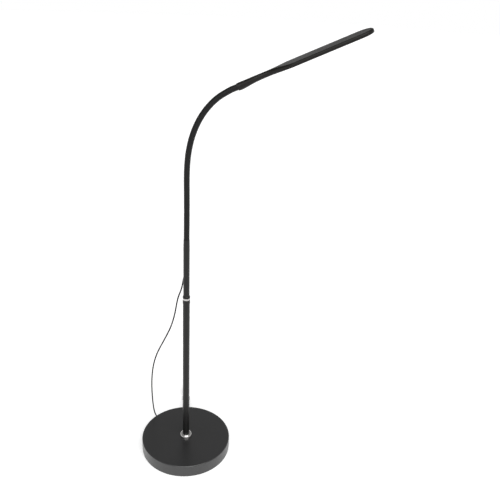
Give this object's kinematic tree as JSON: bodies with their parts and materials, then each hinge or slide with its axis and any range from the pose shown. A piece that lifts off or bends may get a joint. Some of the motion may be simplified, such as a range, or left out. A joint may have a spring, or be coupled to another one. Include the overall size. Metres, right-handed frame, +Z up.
{
  "type": "gooseneck reading floor lamp",
  "caption": "Reading floor lamp: round weighted base, slim pole with a polished joint, flexible gooseneck and a flat slim lamp head.",
  "frame": {"origin": "centre of the foot pad's underside, on the floor", "axes": "+Z up along the pole; +X towards the side the gooseneck and the head lean to; the neck and head lie in the plane Y = 0; the cord leaves the pole towards +Y"},
  "size_m": [0.5334, 0.4525, 1.1693],
  "materials": {
    "cover_paint": "satin",
    "pole_paint": "satin",
    "neck_paint": "matte",
    "polished": "gloss",
    "casting": "matte",
    "steel": "satin",
    "pad": "matte",
    "shell": "satin",
    "trim": "satin",
    "pane": "satin",
    "white": "matte",
    "board": "matte",
    "led": "gloss",
    "circuit": "satin",
    "jacket": "satin",
    "bush": "matte",
    "strap": "satin",
    "plug": "satin",
    "contact": "gloss"
  },
  "bodies": {
    "stand": {"base_cover": "cover_paint", "base_weight": "casting", "base_pad": "pad", "tie_rod": "steel", "base_washer": "steel", "base_nut": "steel", "base_collar": "polished", "foot_plug": "steel", "lower_pole": "pole_paint", "joint_socket": "pole_paint", "joint_ring": "polished", "joint_stud": "pole_paint", "upper_pole": "pole_paint", "cord_bush": "bush", "pole_cable": "jacket", "neck_ferrule": "pole_paint", "neck_base": "neck_paint", "cord_run": "jacket", "cord_hank": "jacket", "cord_tie": "strap", "plug_body": "plug", "plug_barrel": "contact"},
    "link_01": {"neck_link_01": "neck_paint"},
    "link_02": {"neck_link_02": "neck_paint"},
    "link_03": {"neck_link_03": "neck_paint"},
    "link_04": {"neck_link_04": "neck_paint"},
    "link_05": {"neck_link_05": "neck_paint"},
    "link_06": {"neck_link_06": "neck_paint"},
    "link_07": {"neck_link_07": "neck_paint"},
    "link_08": {"neck_link_08": "neck_paint"},
    "link_09": {"neck_link_09": "neck_paint"},
    "link_10": {"neck_link_10": "neck_paint"},
    "link_11": {"neck_link_11": "neck_paint"},
    "head": {"neck_tip": "neck_paint", "head_housing": "shell", "head_bezel": "trim", "diffuser": "pane", "light_frame": "white", "led_board": "board", "led_chips": "led", "driver_board": "circuit", "head_cable": "jacket", "head_screws": "steel"}
  },
  "joints": [
    {"name": "neck_lower_bend", "type": "hinge", "parent": "stand", "child": "link_01", "pos_m": [0.00012, 0, 0.6745], "axis": [0, 1, 0], "range_deg": [-18, 18]},
    {"name": "neck_lower_side", "type": "hinge", "parent": "link_01", "child": "link_02", "pos_m": [0.00029, 0, 0.7095], "axis": [1, 0, -0.0025], "range_deg": [-10, 10]},
    {"name": "neck_lower_bend_2", "type": "hinge", "parent": "link_02", "child": "link_03", "pos_m": [0.0003, 0, 0.7445], "axis": [0, 1, 0], "range_deg": [-18, 18]},
    {"name": "neck_lower_side_2", "type": "hinge", "parent": "link_03", "child": "link_04", "pos_m": [0.00013, 0, 0.7795], "axis": [1, 0, 0.005], "range_deg": [-10, 10]},
    {"name": "neck_lower_bend_3", "type": "hinge", "parent": "link_04", "child": "link_05", "pos_m": [-0.00006, 0, 0.8145], "axis": [0, 1, 0], "range_deg": [-18, 18]},
    {"name": "neck_lower_side_3", "type": "hinge", "parent": "link_05", "child": "link_06", "pos_m": [0.0009, 0, 0.84948], "axis": [0.9978, 0, -0.0669], "range_deg": [-10, 10]},
    {"name": "neck_upper_bend", "type": "hinge", "parent": "link_06", "child": "link_07", "pos_m": [0.00462, 0, 0.88427], "axis": [0, 1, 0], "range_deg": [-18, 18]},
    {"name": "neck_upper_side", "type": "hinge", "parent": "link_07", "child": "link_08", "pos_m": [0.01234, 0, 0.91838], "axis": [0.9562, 0, -0.2926], "range_deg": [-10, 10]},
    {"name": "neck_upper_bend_2", "type": "hinge", "parent": "link_08", "child": "link_09", "pos_m": [0.02502, 0, 0.95096], "axis": [0, 1, 0], "range_deg": [-18, 18]},
    {"name": "neck_upper_side_2", "type": "hinge", "parent": "link_09", "child": "link_10", "pos_m": [0.04328, 0, 0.98076], "axis": [0.7943, 0, -0.6075], "range_deg": [-10, 10]},
    {"name": "neck_upper_bend_3", "type": "hinge", "parent": "link_10", "child": "link_11", "pos_m": [0.06725, 0, 1.00617], "axis": [0, 1, 0], "range_deg": [-18, 18]},
    {"name": "neck_upper_side_3", "type": "hinge", "parent": "link_11", "child": "head", "pos_m": [0.09641, 0, 1.02535], "axis": [0.4801, 0, -0.8772], "range_deg": [-10, 10]}
  ],
  "couplings": [
    {"joint": "neck_lower_bend_2", "follows": "neck_lower_bend", "ratio": 1},
    {"joint": "neck_lower_side_2", "follows": "neck_lower_side", "ratio": 1},
    {"joint": "neck_lower_bend_3", "follows": "neck_lower_bend", "ratio": 1},
    {"joint": "neck_lower_side_3", "follows": "neck_lower_side", "ratio": 1},
    {"joint": "neck_upper_bend_2", "follows": "neck_upper_bend", "ratio": 1},
    {"joint": "neck_upper_side_2", "follows": "neck_upper_side", "ratio": 1},
    {"joint": "neck_upper_bend_3", "follows": "neck_upper_bend", "ratio": 1},
    {"joint": "neck_upper_side_3", "follows": "neck_upper_side", "ratio": 1}
  ]
}
